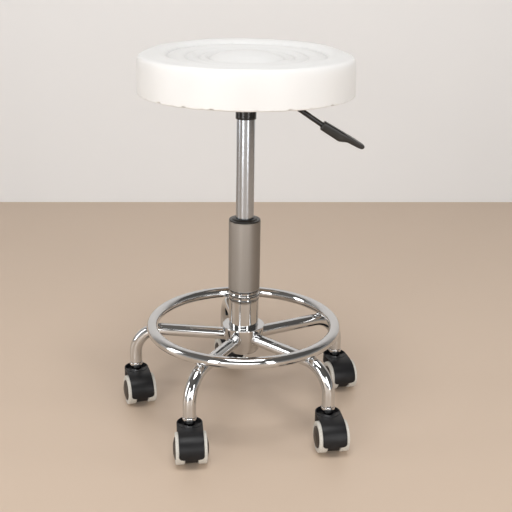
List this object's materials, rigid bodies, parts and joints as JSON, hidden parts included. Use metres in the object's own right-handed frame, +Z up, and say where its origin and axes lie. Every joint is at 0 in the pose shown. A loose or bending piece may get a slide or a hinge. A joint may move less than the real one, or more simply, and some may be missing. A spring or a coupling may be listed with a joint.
{
  "type": "work stool",
  "caption": "Height-adjustable rolling work stool: round cushioned seat on a gas spring with a side lever, over a chromed leg base with a foot ring and twin-wheel casters.",
  "frame": {"origin": "on the floor, at the middle of the object's box, with the casters standing on z = 0; the column's axis stands at x 2.0 mm, y 10.5 mm", "axes": "+Z up along the column; +X towards the height lever; the casters trail towards -Y"},
  "size_m": [0.3954, 0.4166, 0.5817],
  "materials": {
    "polished_chrome": "bright mirror chrome",
    "satin_nickel": "soft-bright warm nickel, faintly brushed up and down",
    "satin_steel": "fine-ground bright steel",
    "plain_steel": "zinc-plated steel",
    "black_paint": "black powder coat",
    "black_plastic": "moulded, finely grained",
    "hood_plastic": "moulded satin black",
    "cap_plastic": "moulded brown-black",
    "tyre_grey": "warm light grey urethane",
    "rubber_black": "black rubber",
    "plywood": "bare plywood",
    "white_vinyl": "white upholstery vinyl with a fine grain"
  },
  "bodies": {
    "base": {"hub": "polished_chrome", "foot_ring": "polished_chrome", "stand_tube": "satin_nickel", "top_bushing": "black_plastic", "thrust_bearing": "plain_steel", "leg_1": "polished_chrome", "leg_2": "polished_chrome", "leg_3": "polished_chrome", "leg_4": "polished_chrome", "leg_5": "polished_chrome", "caster_stem_1": "polished_chrome", "caster_stem_2": "polished_chrome", "caster_stem_3": "polished_chrome", "caster_stem_4": "polished_chrome", "caster_stem_5": "polished_chrome"},
    "lift_rod": {"piston_rod": "satin_steel", "bump_rubber": "rubber_black", "retaining_clip": "plain_steel"},
    "seat": {"gas_cylinder": "satin_steel", "seat_mechanism": "black_paint", "lever_pivot": "plain_steel", "seat_board": "plywood", "seat_cushion": "white_vinyl", "plate_screw_1": "plain_steel", "plate_screw_2": "plain_steel", "plate_screw_3": "plain_steel", "plate_screw_4": "plain_steel"},
    "lever": {"lever_rod": "black_paint", "lever_grip": "black_plastic"},
    "valve": {"valve_pin": "plain_steel"},
    "caster_1": {"caster_hood_1": "hood_plastic", "caster_axle_1": "plain_steel"},
    "wheel_left_1": {"wheel_left_1": "cap_plastic", "tyre_left_1": "tyre_grey"},
    "wheel_right_1": {"wheel_right_1": "cap_plastic", "tyre_right_1": "tyre_grey"},
    "caster_2": {"caster_hood_2": "hood_plastic", "caster_axle_2": "plain_steel"},
    "wheel_left_2": {"wheel_left_2": "cap_plastic", "tyre_left_2": "tyre_grey"},
    "wheel_right_2": {"wheel_right_2": "cap_plastic", "tyre_right_2": "tyre_grey"},
    "caster_3": {"caster_hood_3": "hood_plastic", "caster_axle_3": "plain_steel"},
    "wheel_left_3": {"wheel_left_3": "cap_plastic", "tyre_left_3": "tyre_grey"},
    "wheel_right_3": {"wheel_right_3": "cap_plastic", "tyre_right_3": "tyre_grey"},
    "caster_4": {"caster_hood_4": "hood_plastic", "caster_axle_4": "plain_steel"},
    "wheel_left_4": {"wheel_left_4": "cap_plastic", "tyre_left_4": "tyre_grey"},
    "wheel_right_4": {"wheel_right_4": "cap_plastic", "tyre_right_4": "tyre_grey"},
    "caster_5": {"caster_hood_5": "hood_plastic", "caster_axle_5": "plain_steel"},
    "wheel_left_5": {"wheel_left_5": "cap_plastic", "tyre_left_5": "tyre_grey"},
    "wheel_right_5": {"wheel_right_5": "cap_plastic", "tyre_right_5": "tyre_grey"}
  },
  "joints": [
    {"name": "seat_swivel", "type": "hinge", "parent": "base", "child": "lift_rod", "pos_m": [0.00198, 0.01047, 0.1], "axis": [0, 0, 1], "continuous": true},
    {"name": "height_slide", "type": "slide", "parent": "lift_rod", "child": "seat", "axis": [0, 0, 1], "range_m": [-0.13, 0]},
    {"name": "lever_lift", "type": "hinge", "parent": "seat", "child": "lever", "pos_m": [0.02998, 0.01047, 0.5047], "axis": [0, -1, 0], "range_deg": [0, 6], "stiffness_Nm_per_rad": 3},
    {"name": "valve_press", "type": "slide", "parent": "seat", "child": "valve", "axis": [0, 0, -1], "range_m": [0, 0.003]},
    {"name": "caster_swivel_1", "type": "hinge", "parent": "base", "child": "caster_1", "pos_m": [0.16149, 0.096, 0], "axis": [0, 0, 1], "continuous": true},
    {"name": "wheel_spin_left_1", "type": "hinge", "parent": "caster_1", "child": "wheel_left_1", "pos_m": [0.16921, 0.06909, 0.024], "axis": [0.9613, 0.2756, 0], "continuous": true},
    {"name": "wheel_spin_right_1", "type": "hinge", "parent": "caster_1", "child": "wheel_right_1", "pos_m": [0.16921, 0.06909, 0.024], "axis": [0.9613, 0.2756, 0], "continuous": true},
    {"name": "caster_swivel_2", "type": "hinge", "parent": "base", "child": "caster_2", "pos_m": [-0.03007, 0.18861, 0], "axis": [0, 0, 1], "continuous": true},
    {"name": "wheel_spin_left_2", "type": "hinge", "parent": "caster_2", "child": "wheel_left_2", "pos_m": [-0.02236, 0.1617, 0.024], "axis": [0.9613, 0.2756, 0], "continuous": true},
    {"name": "wheel_spin_right_2", "type": "hinge", "parent": "caster_2", "child": "wheel_right_2", "pos_m": [-0.02236, 0.1617, 0.024], "axis": [0.9613, 0.2756, 0], "continuous": true},
    {"name": "caster_swivel_3", "type": "hinge", "parent": "base", "child": "caster_3", "pos_m": [-0.17735, 0.03503, 0], "axis": [0, 0, 1], "continuous": true},
    {"name": "wheel_spin_left_3", "type": "hinge", "parent": "caster_3", "child": "wheel_left_3", "pos_m": [-0.16869, 0.00841, 0.024], "axis": [0.9511, 0.309, 0], "continuous": true},
    {"name": "wheel_spin_right_3", "type": "hinge", "parent": "caster_3", "child": "wheel_right_3", "pos_m": [-0.16869, 0.00841, 0.024], "axis": [0.9511, 0.309, 0], "continuous": true},
    {"name": "caster_swivel_4", "type": "hinge", "parent": "base", "child": "caster_4", "pos_m": [-0.0768, -0.15249, 0], "axis": [0, 0, 1], "continuous": true},
    {"name": "wheel_spin_left_4", "type": "hinge", "parent": "caster_4", "child": "wheel_left_4", "pos_m": [-0.07339, -0.18028, 0.024], "axis": [0.9925, 0.1219, 0], "continuous": true},
    {"name": "wheel_spin_right_4", "type": "hinge", "parent": "caster_4", "child": "wheel_right_4", "pos_m": [-0.07339, -0.18028, 0.024], "axis": [0.9925, 0.1219, 0], "continuous": true},
    {"name": "caster_swivel_5", "type": "hinge", "parent": "base", "child": "caster_5", "pos_m": [0.13262, -0.11481, 0], "axis": [0, 0, 1], "continuous": true},
    {"name": "wheel_spin_left_5", "type": "hinge", "parent": "caster_5", "child": "wheel_left_5", "pos_m": [0.137, -0.14246, 0.024], "axis": [0.9877, 0.1564, 0], "continuous": true},
    {"name": "wheel_spin_right_5", "type": "hinge", "parent": "caster_5", "child": "wheel_right_5", "pos_m": [0.137, -0.14246, 0.024], "axis": [0.9877, 0.1564, 0], "continuous": true}
  ],
  "couplings": [
    {"joint": "valve_press", "follows": "lever_lift", "m_per_rad": 0.028}
  ]
}
